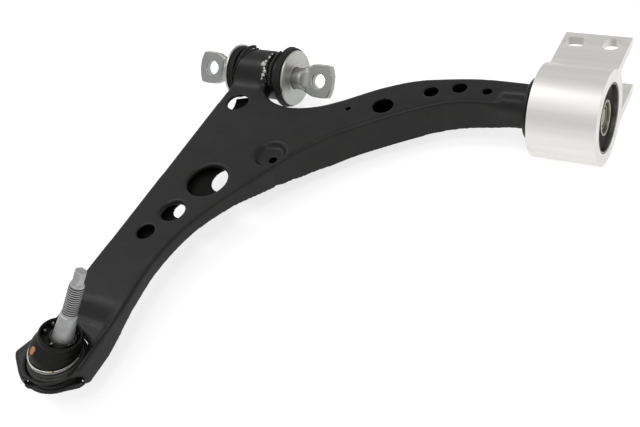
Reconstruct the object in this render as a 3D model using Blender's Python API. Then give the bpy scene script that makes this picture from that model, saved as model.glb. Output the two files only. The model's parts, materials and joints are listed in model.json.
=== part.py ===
"""Lower control arm: pressed-steel A-arm with a bar-pin front bushing, a forked
rear bushing bracket and a ball joint.

Lengths are in millimetres and are turned into metres when each mesh is made.
The arm is laid out in its own axes: the line through both bushings is the X axis
(y = z = 0), the ball joint lies towards -Y and the arm's top plate faces +Z.
ORIGIN_SHIFT then puts the part's origin at the bottom centre of its box.
"""
import math

import bmesh
import bpy
from mathutils import Matrix, Vector

MM = 0.001
CLEARANCE = 0.3

# Overall layout
REAR_END_X = 0.0
FRONT_BUSH_X = -332.5
BAR_PIN_X = -335.0
BALL_CENTRE = Vector((-334.7, -345.4, -3.0))
HOUSING_AXIS = Vector((0.114, 0.125, 0.986)).normalized()
STUD_AXIS = Vector((0.380, 0.472, 0.804)).normalized()
ORIGIN_SHIFT = Vector((206.0, 152.0, 40.0))

# Pressed arm
TOP_Z = 7.3
SEAT_Z = 0.5
SHEET = 3.0
LEG_END_X = -66.5
LEG_BOTTOM_Z = -23.2
ARM_BOTTOM_Z = -5.0
TIP_BOTTOM_Z = -10.0
FLANGE_TIP_Z = -12.2
LEG_END_RISE = 9.5
LEG_END_CURVE = 1.6
FLANGE_LEAN = 5.0
TIP_RADIUS = 28.7
TIP_CENTRE = (-333.0, -345.0)
LOWER_TIP_RADIUS = 34.5
LOWER_TIP_CENTRE = (-334.0, -342.0)

# Holes in the top plate: x, y, radius, depth of the turned-down rim
TOP_HOLES = (
    (-330.3, -218.0, 8.2, 0.0),
    (-319.8, -190.4, 11.0, 3.0),
    (-308.5, -150.0, 18.8, 3.0),
    (-335.6, -50.0, 10.6, 0.0),
    (-191.5, -28.3, 9.5, 0.0),
    (-155.3, -2.5, 6.5, 0.0),
    (-131.9, 6.9, 6.5, 0.0),
    (-106.2, 6.6, 4.2, 0.0),
    (-222.0, -37.7, 2.4, 0.0),
)
# Openings in the closing plate: x, y, radius
LOWER_HOLES = (
    (-317.3, -180.3, 10.4),
    (-296.1, -138.4, 15.8),
)
EDGE_NOTCH = (-377.8, -54.3, 34.0)
DIMPLE = (-266.6, -107.2, 15.4, 4.8)
DIMPLE_HOLE = (-263.8, -109.6, 3.4)

# Front bushing
TUBE_OUTER_R = 23.2
TUBE_INNER_R = 20.8
TUBE_HALF_LENGTH = 24.0
SADDLE_THICKNESS = 2.0
SADDLE_ARC = (65.0, 182.0)
SADDLE_X = (-357.0, -318.0)
SLEEVE_THICKNESS = 1.5
BUMPER_SHIFT = {"left": Vector((0.0, 0.0, 0.0)), "right": Vector((0.0, 0.2, 0.9))}
BUMPER_R = {"left": 25.6, "right": 28.6}
BUMPER_REACH = {"left": 0.0, "right": 3.8}
WASHER_R = 26.4
WASHER_THICKNESS = 2.5
WASHER_OUTER_FACE = 33.5
BAR_R = 10.3
BAR_BARREL_R = 12.5
EAR_PITCH = 125.0
EAR_HOLE_R = 7.1
EAR_THICKNESS = 7.6
EAR_HALF_WIDTH = 15.8
EAR_END = 14.3
EAR_TURN = math.radians(48.0)

# Rear bushing and bracket
RING_R = 40.0
BORE_R = 29.5
BRACKET_LENGTH = 56.6
PLATE_OUTER_Z = 28.2
PLATE_INNER_Z = 20.4
PLATE_END_Y = 72.9
INNER_FLAT = 8.0
BRACKET_TURN = math.radians(-2.7)
SLOT_CENTRE = (-45.0, 60.5)
SLOT_LENGTH = 19.0
SLOT_WIDTH = 13.0
ROUND_HOLE = (-14.8, 61.0, 8.0)
SPIGOT_R = 8.0
SPIGOT_ROOT_R = 8.6
BULGE_THICKNESS = 2.0
BULGE_START_X = -92.0
SPIGOT_START_X = -88.0
SPIGOT_END_X = -5.0
DISC_R = 26.5
DISC_THICKNESS = 3.5
DISC_FACE_X = -61.5
REAR_SLEEVE_R = 10.5
CORE_HALF_HEIGHT = 16.0
CORE_HALF_WIDTH = 13.5

# Ball joint, measured along its axes from the ball's centre
BALL_R = 13.5
LINER_R = 16.0
HOUSING_R = 19.0
COLLAR_R = 24.6
BOOT_BASE = 5.6
BOOT_KNEE = 11.5
BOOT_RIM = 24.2
BOOT_HEIGHT = 18.0
BASE_T = 0.12
COLLAR_T = 0.50
BOOT_RIM_AXIS = Vector((0.38, 0.29, 0.88)).normalized()
BOOT_RIM_SHIFT = Vector((-2.1, -1.1, 0.6))
BOOT_MEMBRANE_R = 9.8
CLIP_INNER_R = 9.3
CLIP_LOW = 20.0
WIRE_RING_R = 21.0
WIRE_R = 0.6
WIRE_SPREAD = 2.6
STUD_LENGTH = 86.8
HEX_RADIUS = 5.2


# ---------------------------------------------------------------- helpers

def clear_scene():
    for obj in list(bpy.data.objects):
        bpy.data.objects.remove(obj, do_unlink=True)


def make_material(name, color, roughness, metallic):
    mat = bpy.data.materials.new(name)
    mat.use_nodes = True
    shader = mat.node_tree.nodes["Principled BSDF"]
    shader.inputs["Base Color"].default_value = (*color, 1.0)
    shader.inputs["Roughness"].default_value = roughness
    shader.inputs["Metallic"].default_value = metallic
    mat.diffuse_color = (*color, 1.0)
    return mat


def add_empty(name, place, parent=None):
    empty = bpy.data.objects.new(name, None)
    empty.location = place * MM
    empty.parent = parent
    bpy.context.scene.collection.objects.link(empty)
    return empty


def add_object(name, bm, mat, parent, place=Vector(), turn=None, smooth=40.0):
    """Turns a bmesh in millimetres into an object placed under its parent."""
    bmesh.ops.remove_doubles(bm, verts=bm.verts, dist=0.0005)
    bmesh.ops.recalc_face_normals(bm, faces=bm.faces)
    bmesh.ops.scale(bm, vec=(MM, MM, MM), verts=bm.verts)
    mesh = bpy.data.meshes.new(name)
    bm.to_mesh(mesh)
    bm.free()
    obj = bpy.data.objects.new(name, mesh)
    bpy.context.scene.collection.objects.link(obj)
    mesh.shade_smooth()
    mesh.set_sharp_from_angle(angle=math.radians(smooth))
    if mat is not None:
        mesh.materials.append(mat)
    obj.parent = parent
    obj.matrix_local = Matrix.Translation(place * MM) @ (turn or Matrix()).to_4x4()
    return obj


def boolean(target, tool, operation="DIFFERENCE"):
    """Hides the tool object and lets it cut, join or trim the target."""
    tool.hide_render = True
    tool.display_type = "WIRE"
    tool.hide_set(True)
    mod = target.modifiers.new(operation.title(), "BOOLEAN")
    mod.operation = operation
    mod.solver = "EXACT"
    mod.object = tool


def turn_z_to(direction):
    return Vector((0, 0, 1)).rotation_difference(direction).to_matrix()


def lathe(profile, segments=32, closed=True, place=None):
    """Spins (radius, height) points about Z; place() can bend the rings."""
    bm = bmesh.new()
    rings = []
    for radius, height in profile:
        ring = []
        count = segments if radius > 1e-6 else 1
        for k in range(count):
            angle = 2 * math.pi * k / segments
            point = Vector((radius * math.cos(angle), radius * math.sin(angle), height))
            ring.append(bm.verts.new(place(point) if place else point))
        rings.append(ring)
    pairs = list(zip(rings[:-1], rings[1:]))
    if closed:
        pairs.append((rings[-1], rings[0]))
    for low, high in pairs:
        if len(low) == 1 and len(high) == 1:
            continue
        for k in range(segments):
            nxt = (k + 1) % segments
            corners = [low[k % len(low)], low[nxt % len(low)],
                       high[nxt % len(high)], high[k % len(high)]]
            unique = list(dict.fromkeys(corners))
            bm.faces.new(unique)
    return bm


def tube_profile(inner, outer, low, high, chamfer=0.0):
    if chamfer == 0.0:
        return [(outer, low), (outer, high), (inner, high), (inner, low)]
    return [(outer - chamfer, low), (outer, low + chamfer), (outer, high - chamfer),
            (outer - chamfer, high), (inner, high), (inner, low)]


def rod_profile(steps):
    """Closes a list of (radius, height) steps onto the axis at both ends."""
    return [(0.0, steps[0][1])] + list(steps) + [(0.0, steps[-1][1])]


def arc_points(cx, cy, radius, start, end, count):
    points = []
    for k in range(count + 1):
        angle = math.radians(start + (end - start) * k / count)
        points.append((cx + radius * math.cos(angle), cy + radius * math.sin(angle)))
    return points


def smooth_run(points, step):
    """Runs a Catmull-Rom curve through the points, sampled about every step."""
    ends = [tuple(2 * a - b for a, b in zip(points[0], points[1])),
            tuple(2 * a - b for a, b in zip(points[-1], points[-2]))]
    pts = [Vector(p) for p in [ends[0]] + list(points) + [ends[1]]]
    out = []
    for a, b, c, d in zip(pts, pts[1:], pts[2:], pts[3:]):
        count = max(1, round((c - b).length / step))
        for k in range(count):
            t = k / count
            out.append(0.5 * ((2 * b) + (c - a) * t + (2 * a - 5 * b + 4 * c - d) * t ** 2
                              + (3 * b - a - 3 * c + d) * t ** 3))
    out.append(pts[-2])
    return [(p.x, p.y) for p in out]


def inset(outline, distance):
    """Moves a counter-clockwise outline inwards, with mitred corners."""
    count = len(outline)
    moved = []
    for k in range(count):
        before = Vector(outline[k - 1])
        here = Vector(outline[k])
        after = Vector(outline[(k + 1) % count])
        into = (here - before).normalized()
        out = (after - here).normalized()
        normal = Vector((-into.y - out.y, into.x + out.x)).normalized()
        stretch = max(0.5, normal.dot(Vector((-into.y, into.x))))
        moved.append(tuple(here + normal * distance / stretch))
    return moved


def block(outline, top, bottom, x_cuts=(), y_cuts=(), shift=None):
    """A solid between the heights top(x, y) and bottom(x, y) inside an outline.

    The cuts add edges where the height functions bend; shift(x, y) moves the
    bottom outline sideways, which makes the sides lean.
    """
    bm = bmesh.new()
    bm.faces.new([bm.verts.new((x, y, 0.0)) for x, y in outline])
    for axis, cuts in ((0, x_cuts), (1, y_cuts)):
        for value in cuts:
            normal = Vector((1, 0, 0)) if axis == 0 else Vector((0, 1, 0))
            geom = list(bm.verts) + list(bm.edges) + list(bm.faces)
            bmesh.ops.bisect_plane(bm, geom=geom, dist=1e-4,
                                   plane_co=normal * value, plane_no=normal)
    upper = list(bm.verts)
    copies = {vert: bm.verts.new(vert.co) for vert in upper}
    rims = [edge for edge in bm.edges if len(edge.link_faces) == 1]
    for face in list(bm.faces):
        bm.faces.new([copies[vert] for vert in reversed(face.verts)])
    for edge in rims:
        a, b = edge.verts
        bm.faces.new([a, b, copies[b], copies[a]])
    for vert in upper:
        low = copies[vert]
        x, y = vert.co.x, vert.co.y
        dx, dy = shift(x, y) if shift else (0.0, 0.0)
        vert.co.z = top(x, y)
        low.co = Vector((x + dx, y + dy, bottom(x, y)))
    return bm


def prism_x(profile, x0, x1):
    """Extrudes a (y, z) outline along X."""
    bm = bmesh.new()
    left = [bm.verts.new((x0, y, z)) for y, z in profile]
    right = [bm.verts.new((x1, y, z)) for y, z in profile]
    bm.faces.new(left)
    bm.faces.new(list(reversed(right)))
    count = len(profile)
    for k in range(count):
        nxt = (k + 1) % count
        bm.faces.new([left[k], right[k], right[nxt], left[nxt]])
    return bm


def ramp(value, start, end, low, high):
    """Goes evenly from low at start to high at end, and stays level beyond."""
    t = (value - start) / (end - start)
    t = min(1.0, max(0.0, t))
    return low + (high - low) * t


def eased(value, start, end, low, high, steps=4):
    """A soft ramp, made of short straight pieces so that strips stay flat."""
    t = min(1.0, max(0.0, (value - start) / (end - start)))
    k = min(steps - 1, int(t * steps))
    a, b = k / steps, (k + 1) / steps
    soft = [s * s * (3 - 2 * s) for s in (a, b)]
    return low + (high - low) * (soft[0] + (soft[1] - soft[0]) * (t - a) * steps)


# ---------------------------------------------------------------- pressed arm

JOGGLE_Y = (-291.0, -313.0)
WALL_X = (-308.5, -302.3)
DEEPEN_X = (-294.0, -226.0)
RISE_X = (-165.0, LEG_END_X)
TIP_DEEPEN_Y = (-287.0, -327.0)
PLATE_DROP_Y = (-284.0, -306.0)
PLATE_RECESS = 0.8
X_CUTS = [DEEPEN_X[0] + (DEEPEN_X[1] - DEEPEN_X[0]) * k / 4 for k in range(5)]
X_CUTS += [RISE_X[0], -140.0, -115.0, -90.0]
Y_CUTS = [TIP_DEEPEN_Y[1]]
JOGGLE_CUTS = [JOGGLE_Y[0] + (JOGGLE_Y[1] - JOGGLE_Y[0]) * k / 4 for k in range(5)]


def top_height(x, y):
    seat = eased(y, *JOGGLE_Y, TOP_Z, SEAT_Z)
    return seat + (TOP_Z - seat) * ramp(x, *WALL_X, 0.0, 1.0)


def bottom_height(x, y):
    leg = eased(x, *DEEPEN_X, 0.0, LEG_BOTTOM_Z - ARM_BOTTOM_Z)
    leg += LEG_END_RISE * ramp(x, *RISE_X, 0.0, 1.0) ** LEG_END_CURVE
    drop = ramp(x, *WALL_X, TIP_BOTTOM_Z, FLANGE_TIP_Z) - ARM_BOTTOM_Z
    return ARM_BOTTOM_Z + leg + ramp(y, *TIP_DEEPEN_Y, 0.0, drop)


def plate_height(x, y):
    """The underside of the closing plate, which drops early to clear the ball seat."""
    leg = eased(x, *DEEPEN_X, 0.0, LEG_BOTTOM_Z - ARM_BOTTOM_Z)
    leg += LEG_END_RISE * ramp(x, *RISE_X, 0.0, 1.0) ** LEG_END_CURVE
    tip = ramp(y, *PLATE_DROP_Y, 0.0, TIP_BOTTOM_Z - ARM_BOTTOM_Z)
    return ARM_BOTTOM_Z + PLATE_RECESS + leg + tip


def leg_middle(x):
    return 8.0 - 0.0024 * (x - LEG_END_X) ** 2


def front_lean(x, y):
    """The long front flange leans outwards towards the rear of the arm."""
    side = 1.0 if y < leg_middle(x) and y > -120.0 else 0.0
    return 0.0, -side * eased(x, *DEEPEN_X, 0.0, FLANGE_LEAN)


def arm_outline():
    """The top plate's outline, counter-clockwise seen from above."""
    front = smooth_run([(-299, -353), (-299, -320), (-300.5, -287), (-303, -250),
                        (-298, -211), (-284.5, -174), (-261, -132), (-241, -97),
                        (-214.5, -67.5), (-183, -42.3), (-150, -20), (-125, -10.4),
                        (-98, -7.2), (LEG_END_X, -7.5)], 8.0)
    back = smooth_run([(LEG_END_X, 23.8), (-87, 23.8), (-118.5, 22.4), (-149.5, 17.0),
                       (-176, 9.8), (-204.2, -5.6), (-234, -28.3), (-252, -39.2),
                       (-270, -45.0), (-285, -45.8), (-301.0, -42.0), (-311.4, -34.6),
                       (-318, -27)], 8.0)
    tongue = [(SADDLE_X[1], -20.0), (SADDLE_X[0], -20.0)]
    side = smooth_run([(-356.3, -40), (-356.8, -90), (-357.7, -200), (-358.6, -265),
                       (-359.6, -312), (-362.8, -328), (-368.6, -343), (-373.2, -354.3)], 20.0)
    corner = [(-368.3, -359.6), (-356.6, -369.5), (-349.4, -374.3)]
    tip = arc_points(*TIP_CENTRE, TIP_RADIUS, -105.0, -38.0, 9)
    return front + back + tongue + side + corner + tip


def add_upper_shell(mat, root):
    outline = arm_outline()
    shell = add_object("upper_shell",
                       block(outline, top_height, bottom_height,
                             X_CUTS + list(WALL_X), Y_CUTS + JOGGLE_CUTS, front_lean),
                       mat, root)
    hollow = add_object("cut_shell_hollow",
                        block(inset(outline, SHEET),
                              lambda x, y: top_height(x, y) - SHEET,
                              lambda x, y: bottom_height(x, y) - 20.0,
                              X_CUTS + list(WALL_X), Y_CUTS + JOGGLE_CUTS,
                              lambda x, y: Vector(front_lean(x, y)) * 1.7),
                        None, root)
    boolean(shell, hollow)
    leg_mouth = add_object("cut_leg_mouth",
                           prism_x([(-4.5, -60), (20.3, -60), (20.3, 4.3), (-4.5, 4.3)],
                                   LEG_END_X - 8.0, LEG_END_X + 5.0), None, root)
    boolean(shell, leg_mouth)
    saddle_arc = arc_points(0, 0, TUBE_OUTER_R + CLEARANCE + SADDLE_THICKNESS, *SADDLE_ARC, 12)
    saddle_arc += arc_points(0, 0, TUBE_OUTER_R - 2.0, *reversed(SADDLE_ARC), 12)
    saddle = prism_x(saddle_arc, SADDLE_X[0] + 0.3, SADDLE_X[1] + 0.6)
    boolean(shell, add_object("join_saddle", saddle, None, root),
            "UNION")
    bulge = arc_points(0, 0, SPIGOT_ROOT_R + CLEARANCE + BULGE_THICKNESS, 40, 140, 12)
    boolean(shell, add_object("join_bulge", prism_x(bulge, BULGE_START_X, LEG_END_X - 0.4), None,
                              root), "UNION")
    for k, (x, y, radius, depth) in enumerate(TOP_HOLES):
        if depth > 0.0:
            rim = lathe(rod_profile([(radius + 2.4, TOP_Z - SHEET - depth),
                                     (radius + 2.4, TOP_Z - 1.0)]), 28)
            boolean(shell, add_object(f"join_rim_{k}", rim, None, root, Vector((x, y, 0))),
                    "UNION")
    x, y, radius, depth = DIMPLE
    cup = lathe(rod_profile([(radius, TOP_Z - depth - SHEET + 0.6), (radius + 2.0, TOP_Z - 1.0)]),
                28)
    boolean(shell, add_object("join_dimple", cup, None, root, Vector((x, y, 0))), "UNION")
    hollow_cup = lathe(rod_profile([(radius - 3.0, TOP_Z - depth), (radius, TOP_Z + 1.0)]), 28)
    boolean(shell, add_object("cut_dimple", hollow_cup, None, root, Vector((x, y, 0))))
    for k, (x, y, radius) in enumerate([h[:3] for h in TOP_HOLES] + [DIMPLE_HOLE]):
        hole = lathe(rod_profile([(radius, -4.9), (radius, TOP_Z + 5.0)]), 24)
        boolean(shell, add_object(f"cut_hole_{k}", hole, None, root, Vector((x, y, 0))))
    boolean(shell, add_object("cut_notch", notch_cutter(), None, root))
    boolean(shell, add_object("cut_tip_window", tip_window(), None, root))
    boolean(shell, seat_cutter("cut_seat_upper", COLLAR_R + 0.6, root))
    boolean(shell, tube_cutter("cut_shell_tube", root))
    boolean(shell, spigot_cutter("cut_shell_spigot", root))
    return shell


def notch_cutter():
    x, y, radius = EDGE_NOTCH
    return lathe(rod_profile([(radius, -30.0), (radius, TOP_Z - SHEET - 0.1)]), 32,
                 place=lambda p: p + Vector((x, y, 0)))


def tip_window():
    """Opens the front of the tip between the two plates."""
    cx, cy = TIP_CENTRE
    fan = [(cx, cy)] + arc_points(cx, cy, 60.0, -118.5, -60.0, 4) + [(-302.3, -345.0)]
    return block(fan, lambda x, y: SEAT_Z - SHEET, lambda x, y: -30.0)


def seat_cutter(name, radius, root, low=-25.0):
    bm = lathe(rod_profile([(radius, low), (radius, 25.0)]), 32)
    return add_object(name, bm, None, root, BALL_CENTRE, turn_z_to(HOUSING_AXIS))


def tube_cutter(name, root):
    bm = lathe(rod_profile([(TUBE_OUTER_R + CLEARANCE, -60.0),
                            (TUBE_OUTER_R + CLEARANCE, 60.0)]), 48)
    return add_object(name, bm, None, root, Vector((FRONT_BUSH_X, 0, 0)), ALONG_X)


def spigot_cutter(name, root):
    radius = SPIGOT_ROOT_R + CLEARANCE
    bm = lathe(rod_profile([(radius, SPIGOT_START_X - CLEARANCE), (radius, 0.0)]), 32)
    return add_object(name, bm, None, root, Vector(), ALONG_X)


def add_lower_plate(mat, root):
    inner = inset(arm_outline(), SHEET + 0.4)
    kept = [p for p in inner if p[1] < -28.0 or p[0] > -300.0]
    plate = add_object("lower_plate",
                       block(kept,
                             lambda x, y: plate_height(x, y) + SHEET, plate_height,
                             X_CUTS, list(PLATE_DROP_Y)),
                       mat, root)
    low = TIP_BOTTOM_Z + PLATE_RECESS
    fan = [(LOWER_TIP_CENTRE[0], LOWER_TIP_CENTRE[1]), (-344.7, -367.4), (-348.6, -375.1), (-344.8, -376.3)]
    fan += arc_points(*LOWER_TIP_CENTRE, LOWER_TIP_RADIUS, -101.0, -50.0, 7)
    fan += [(-301.5, -362.0), (-298.8, -357.4), (-300.0, -355.2), (-303.4, -357.6),
            (-303.6, -351.0)]
    boolean(plate, add_object("join_lower_tip",
                              block(fan, lambda x, y: low + SHEET - 0.01,
                                    lambda x, y: low + 0.01), None, root), "UNION")
    for k, (x, y, radius) in enumerate(LOWER_HOLES):
        hole = lathe(rod_profile([(radius, -40.0), (radius, 3.0)]), 24)
        boolean(plate, add_object(f"cut_lower_hole_{k}", hole, None, root, Vector((x, y, 0))))
    boolean(plate, add_object("cut_notch_lower", notch_cutter(), None, root))
    boolean(plate, tube_cutter("cut_plate_tube", root))
    boolean(plate, spigot_cutter("cut_plate_spigot", root))
    boolean(plate, seat_cutter("cut_seat_lower", HOUSING_R + CLEARANCE, root))
    boolean(plate, seat_cutter("cut_collar_lower", COLLAR_R + 0.5, root, -2.3))
    return plate


ALONG_X = Matrix(((0, 0, 1), (1, 0, 0), (0, 1, 0)))


# ---------------------------------------------------------------- front bushing

def ring_part(name, profile, mat, parent, centre, segments=40):
    return add_object(name, lathe(profile, segments), mat, parent, centre, ALONG_X)


def add_front_bushing(mats, root, pin_axis):
    centre = Vector((FRONT_BUSH_X, 0, 0))
    half = TUBE_HALF_LENGTH
    ring_part("front_bushing_tube",
              tube_profile(TUBE_INNER_R, TUBE_OUTER_R, -half, half, 0.8),
              mats["black_paint"], root, centre)
    sleeve_outer = TUBE_INNER_R - CLEARANCE
    sleeve_inner = sleeve_outer - SLEEVE_THICKNESS
    ring_part("front_outer_sleeve",
              tube_profile(sleeve_inner, sleeve_outer, -half - 1, half + 1),
              mats["steel"], root, centre)
    ring_part("front_rubber",
              tube_profile(BAR_BARREL_R + CLEARANCE, sleeve_inner - CLEARANCE,
                           -half - 0.5, half + 0.5),
              mats["rubber"], root, centre)
    washer_inner = WASHER_OUTER_FACE - WASHER_THICKNESS
    for side, label in ((-1, "left"), (1, "right")):
        low, high = sorted((side * (half + 1.4), side * (washer_inner - CLEARANCE)))
        lip = low - BUMPER_REACH[label]
        over_tube = TUBE_OUTER_R + 1.6
        bumper = [(BUMPER_R[label] - 1.4, lip), (BUMPER_R[label], lip + 1.2),
                  (BUMPER_R[label], high - 1.6), (BUMPER_R[label] - 1.2, high),
                  (BAR_BARREL_R + 2.8, high), (BAR_BARREL_R + 2.8, low)]
        if lip < low:
            bumper += [(over_tube, low), (over_tube, lip)]
        ring_part(f"front_bumper_{label}", bumper, mats["rubber"], root,
                  centre + BUMPER_SHIFT[label])
        face = side * WASHER_OUTER_FACE
        back = side * washer_inner
        low, high = sorted((face, back))
        ring_part(f"front_washer_{label}",
                  tube_profile(BAR_R + CLEARANCE, WASHER_R, low, high, 0.7),
                  mats["zinc"], pin_axis, Vector((FRONT_BUSH_X - BAR_PIN_X, 0, 0)))
    add_bar_pin(mats["zinc"], pin_axis)


def ear_outline(side):
    half_neck = BAR_R - 0.4
    sides = smooth_run([(-22, half_neck), (-16, half_neck + 1.2), (-8, 14.9),
                        (0, EAR_HALF_WIDTH), (7, 15.7), (11.2, 14.8)], 4.0)
    dome = smooth_run([(11.2, 14.8), (13.6, 8.0), (EAR_END, 0.0), (13.6, -8.0),
                       (11.2, -14.8)], 4.0)
    lower = [(u, -w) for u, w in reversed(sides)]
    loop = sides + dome[1:-1] + lower
    points = [(side * (u + EAR_PITCH / 2), w) for u, w in loop]
    return points if side < 0 else list(reversed(points))


def add_bar_pin(mat, pin_axis):
    """A round bar with a barrel in the rubber and two flattened, bored ears."""
    reach = EAR_PITCH / 2 - 12.0
    barrel = 21.0
    run_out_r = 9.0
    steps = [(BAR_R - 1.5, -reach), (BAR_R, -reach + 2), (BAR_R, -barrel - 2),
             (BAR_BARREL_R, -barrel), (BAR_BARREL_R, barrel), (BAR_R, barrel + 2),
             (BAR_R, reach - 2), (BAR_R - 1.5, reach)]
    pin = ring_part("bar_pin", rod_profile(steps), mat, pin_axis, Vector(), 32)
    tilt = Matrix.Rotation(EAR_TURN, 3, "X")
    half = EAR_THICKNESS / 2
    for side, label in ((-1, "left"), (1, "right")):
        for face in (-1, 1):
            run_out = lathe(rod_profile([(run_out_r, -20.0), (run_out_r, 20.0)]), 32,
                            place=lambda p: Vector((p.x, p.z, p.y)))
            centre = Vector((side * (reach + 3.0), 0, face * (half + run_out_r)))
            boolean(pin, add_object(f"cut_run_out_{label}_{face}", run_out, None, pin_axis,
                                    tilt @ centre, tilt))
        ear = block(ear_outline(side), lambda x, y: half, lambda x, y: -half)
        boolean(pin, add_object(f"join_ear_{label}", ear, None, pin_axis, Vector(), tilt),
                "UNION")
        hole = lathe(rod_profile([(EAR_HOLE_R, -20.0), (EAR_HOLE_R, 20.0)]), 28)
        centre = tilt @ Vector((side * EAR_PITCH / 2, 0, 0))
        boolean(pin, add_object(f"cut_ear_hole_{label}", hole, None, pin_axis, centre, tilt))


# ---------------------------------------------------------------- rear bushing

def bracket_outline():
    """A ring with two parallel plates; the bore is cut afterwards.

    The ring's side is flat for a short way next to each plate.
    """
    tangent = math.degrees(math.asin(PLATE_OUTER_Z / RING_R))
    inside = math.degrees(math.asin(PLATE_INNER_Z / RING_R))
    points = arc_points(0, 0, RING_R, tangent, 360 - tangent, 44)
    points += [(PLATE_END_Y, -PLATE_OUTER_Z), (PLATE_END_Y, -PLATE_INNER_Z)]
    side = RING_R * math.cos(math.radians(inside - INNER_FLAT))
    points += [(side, -PLATE_INNER_Z)]
    points += arc_points(0, 0, RING_R, INNER_FLAT - inside, inside - INNER_FLAT, 8)
    points += [(side, PLATE_INNER_Z)]
    points += [(PLATE_END_Y, PLATE_INNER_Z), (PLATE_END_Y, PLATE_OUTER_Z)]
    return points


def add_rear_bracket(mat, axis):
    bracket = add_object("rear_bracket",
                         prism_x(bracket_outline(), REAR_END_X - BRACKET_LENGTH, REAR_END_X),
                         mat, axis)
    bore = lathe(rod_profile([(BORE_R, -BRACKET_LENGTH - 5), (BORE_R, 5.0)]), 56)
    boolean(bracket, add_object("cut_bore", bore, None, axis, Vector(), ALONG_X))
    reach = PLATE_OUTER_Z + 5.0
    x, y = SLOT_CENTRE
    radius = SLOT_WIDTH / 2
    straight = (SLOT_LENGTH - SLOT_WIDTH) / 2
    loop = arc_points(x + straight, y, radius, -90, 90, 10)
    loop += arc_points(x - straight, y, radius, 90, 270, 10)
    slot = block(loop, lambda u, v: reach, lambda u, v: -reach)
    boolean(bracket, add_object("cut_slot", slot, None, axis))
    x, y, radius = ROUND_HOLE
    hole = lathe(rod_profile([(radius, -reach), (radius, reach)]), 28)
    boolean(bracket, add_object("cut_round_hole", hole, None, axis, Vector((x, y, 0))))
    return bracket


def oval_ring(half_height, half_width, wall, x0, x1):
    def squash(point):
        angle = math.atan2(point.y, point.x)
        radius = math.hypot(point.x, point.y)
        base = CORE_HALF_HEIGHT
        scale = radius / base
        return Vector((half_width * scale * math.cos(angle),
                       half_height * scale * math.sin(angle), point.z))
    inner = CORE_HALF_HEIGHT - wall
    return lathe(tube_profile(inner, CORE_HALF_HEIGHT, x0, x1), 36, place=squash)


def add_rear_bushing(mats, root, axis):
    sleeve_outer = BORE_R - CLEARANCE
    sleeve_inner = sleeve_outer - 1.4
    left, right = -BRACKET_LENGTH, REAR_END_X
    ring_part("rear_outer_sleeve", tube_profile(sleeve_inner, sleeve_outer, left - 0.6, -0.2),
              mats["sleeve"], axis, Vector(), 48)
    add_rear_bracket(mats["aluminium"], axis)
    rubber = ring_part("rear_rubber",
                       [(27.2, left + 4), (27.4, left + 6), (27.4, right - 5), (26.6, right - 3.5),
                        (21.0, right - 6), (REAR_SLEEVE_R + CLEARANCE, right - 8),
                        (REAR_SLEEVE_R + CLEARANCE, left + 3), (20.0, left + 3)],
                       mats["rubber"], root, Vector(), 48)
    gap = add_object("cut_core_gap",
                     oval_ring(CORE_HALF_HEIGHT + 0.3, CORE_HALF_WIDTH + 0.3, 2.6,
                               left + 8, right + 4), None, root, Vector(), ALONG_X)
    boolean(rubber, gap)
    add_object("rear_core_ring",
               oval_ring(CORE_HALF_HEIGHT, CORE_HALF_WIDTH, 2.0, left + 8.4, right - 2.5),
               mats["core"], root, Vector(), ALONG_X)
    ring_part("rear_inner_sleeve",
              tube_profile(SPIGOT_R + CLEARANCE, REAR_SLEEVE_R, left + 1.0, right - 4.5),
              mats["steel"], root, Vector(), 32)


def add_spigot(mats, root):
    disc_back = DISC_FACE_X - DISC_THICKNESS
    ring_part("rear_spigot",
              rod_profile([(SPIGOT_ROOT_R - 2, SPIGOT_START_X), (SPIGOT_ROOT_R, SPIGOT_START_X + 2),
                           (SPIGOT_ROOT_R, disc_back - CLEARANCE), (SPIGOT_R, disc_back - CLEARANCE),
                           (SPIGOT_R, SPIGOT_END_X - 1), (SPIGOT_R - 1, SPIGOT_END_X)]),
              mats["black_paint"], root, Vector(), 32)
    ring_part("rear_stop_disc",
              tube_profile(SPIGOT_R + CLEARANCE, DISC_R, disc_back, DISC_FACE_X, 0.8),
              mats["black_paint"], root, Vector(), 40)


# ---------------------------------------------------------------- welds

def bead(path, width, height, point_at):
    """A weld bead: a low half-round ridge swept along a path of parameters."""
    bm = bmesh.new()
    rings = []
    last = len(path) - 1
    for k, value in enumerate(path):
        fade = 0.35 if k in (0, last) else 1.0
        base, side, up = point_at(value)
        ring = []
        for step in range(5):
            angle = math.pi * step / 4
            offset = side * math.cos(angle) * width / 2 + up * math.sin(angle) * height
            ring.append(bm.verts.new(base + offset * fade))
        rings.append(ring)
    for low, high in zip(rings[:-1], rings[1:]):
        for k in range(5):
            nxt = (k + 1) % 5
            bm.faces.new([low[k], low[nxt], high[nxt], high[k]])
    bm.faces.new(rings[0])
    bm.faces.new(list(reversed(rings[-1])))
    return bm


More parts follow.
